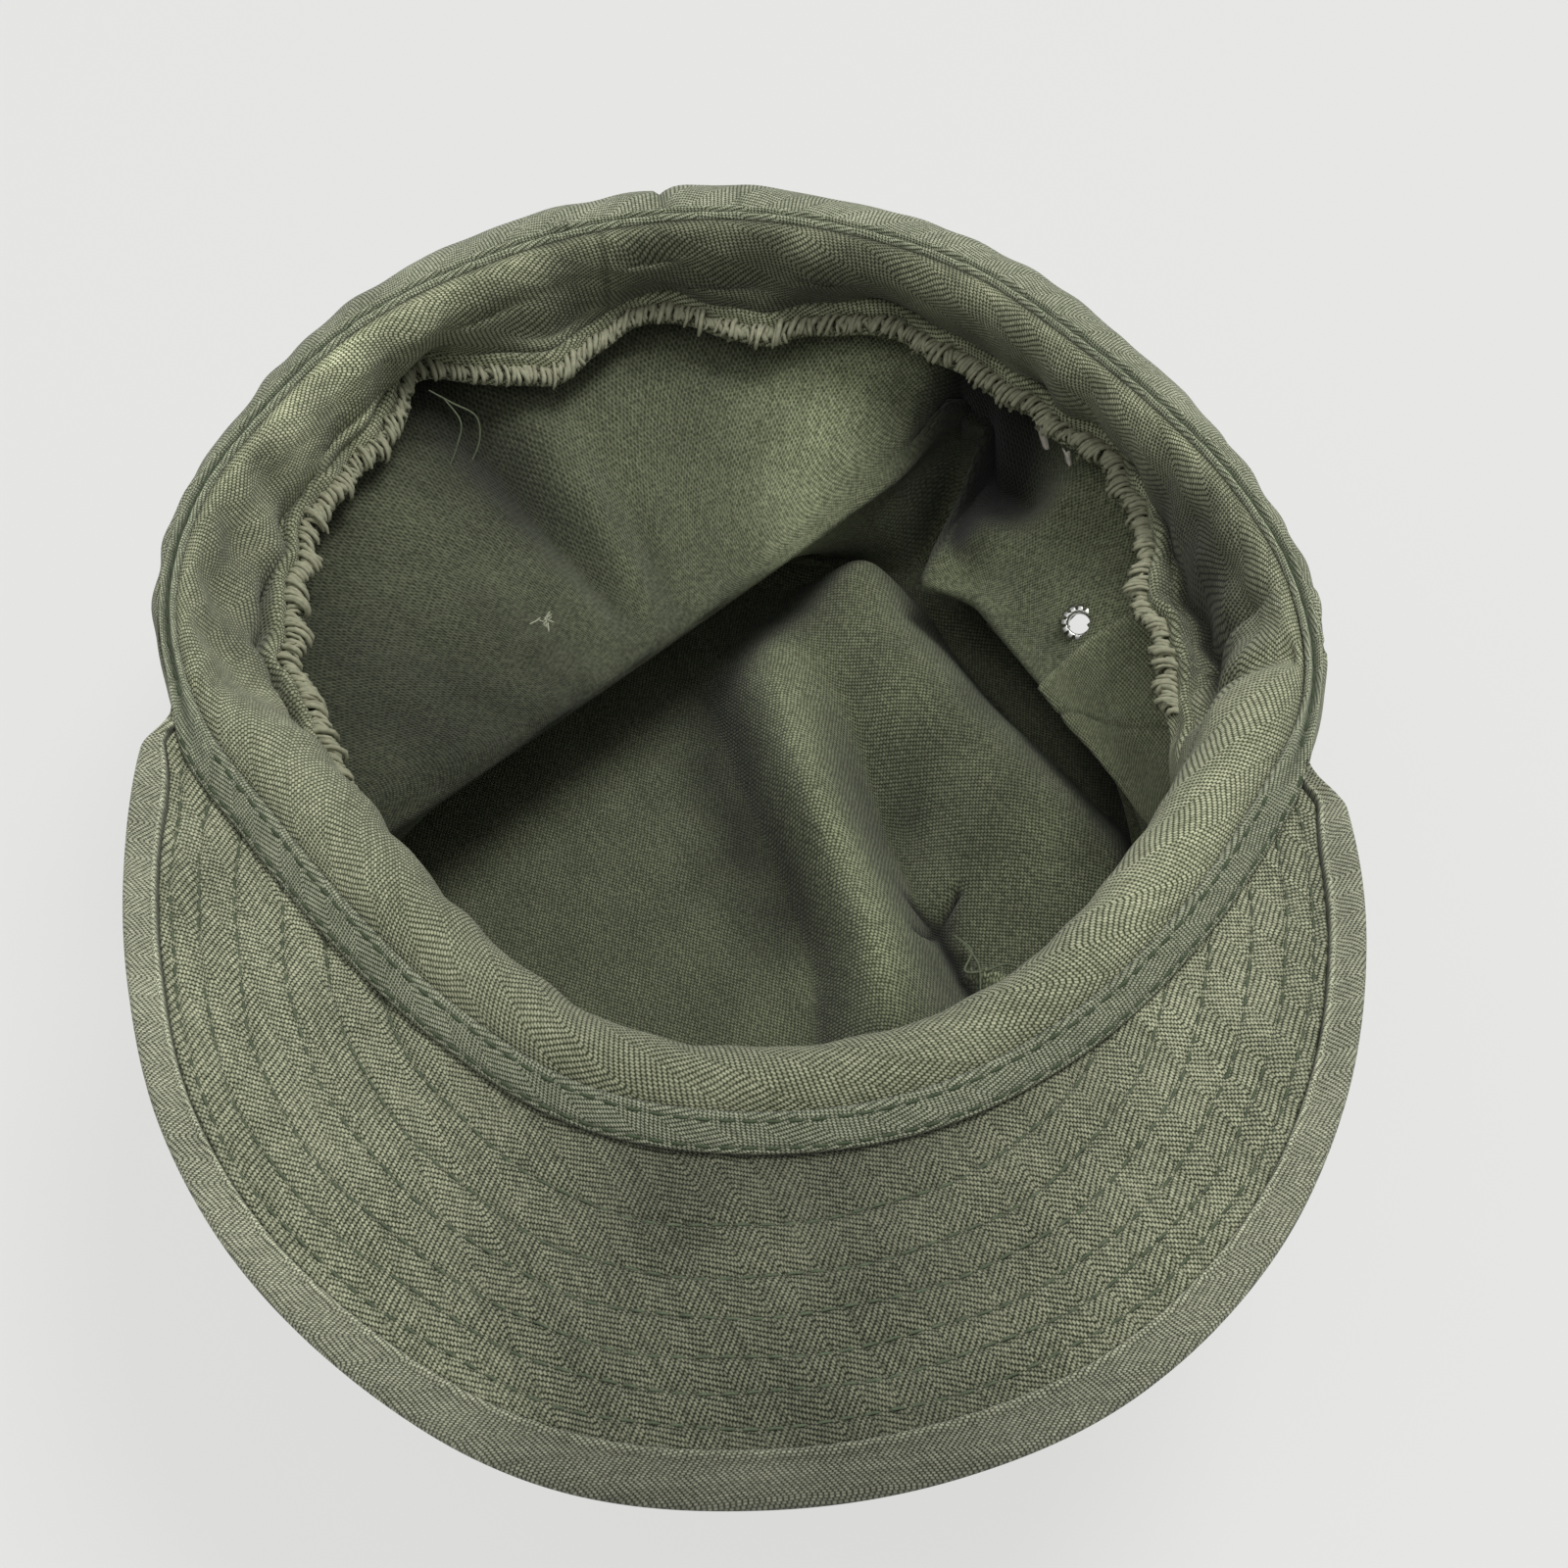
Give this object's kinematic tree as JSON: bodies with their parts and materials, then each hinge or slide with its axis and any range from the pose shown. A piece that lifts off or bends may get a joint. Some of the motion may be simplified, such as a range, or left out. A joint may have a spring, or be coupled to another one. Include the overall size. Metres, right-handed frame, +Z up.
{
  "type": "field cap",
  "caption": "Soft twill field cap lying upside down on its slouched crown, with a stitched peak, a puckered sweatband and a vent eyelet.",
  "frame": {"origin": "on the surface that the cap rests on, below the middle of the head opening", "axes": "+Z up out of the head opening, -Y toward the peak"},
  "size_m": [0.1949, 0.2648, 0.0814],
  "materials": {
    "band_cloth": "worn herringbone twill",
    "welt_cloth": "worn twill strip",
    "sweatband_cloth": "worn herringbone twill",
    "crown_cloth": "washed twill",
    "crown_top_cloth": "washed twill",
    "patch_cloth": "washed twill",
    "peak_cloth": "worn herringbone twill",
    "facing_cloth": "stitched herringbone twill",
    "eyelet_metal": "crimped"
  },
  "bodies": {
    "root": {"band": "band_cloth", "edge_welt": "welt_cloth", "sweatband": "sweatband_cloth", "crown_side": "crown_cloth", "crown_top": "crown_top_cloth", "crown_patch": "patch_cloth", "peak_cover": "peak_cloth", "peak_facing": "facing_cloth", "eyelet": "eyelet_metal"}
  },
  "joints": []
}
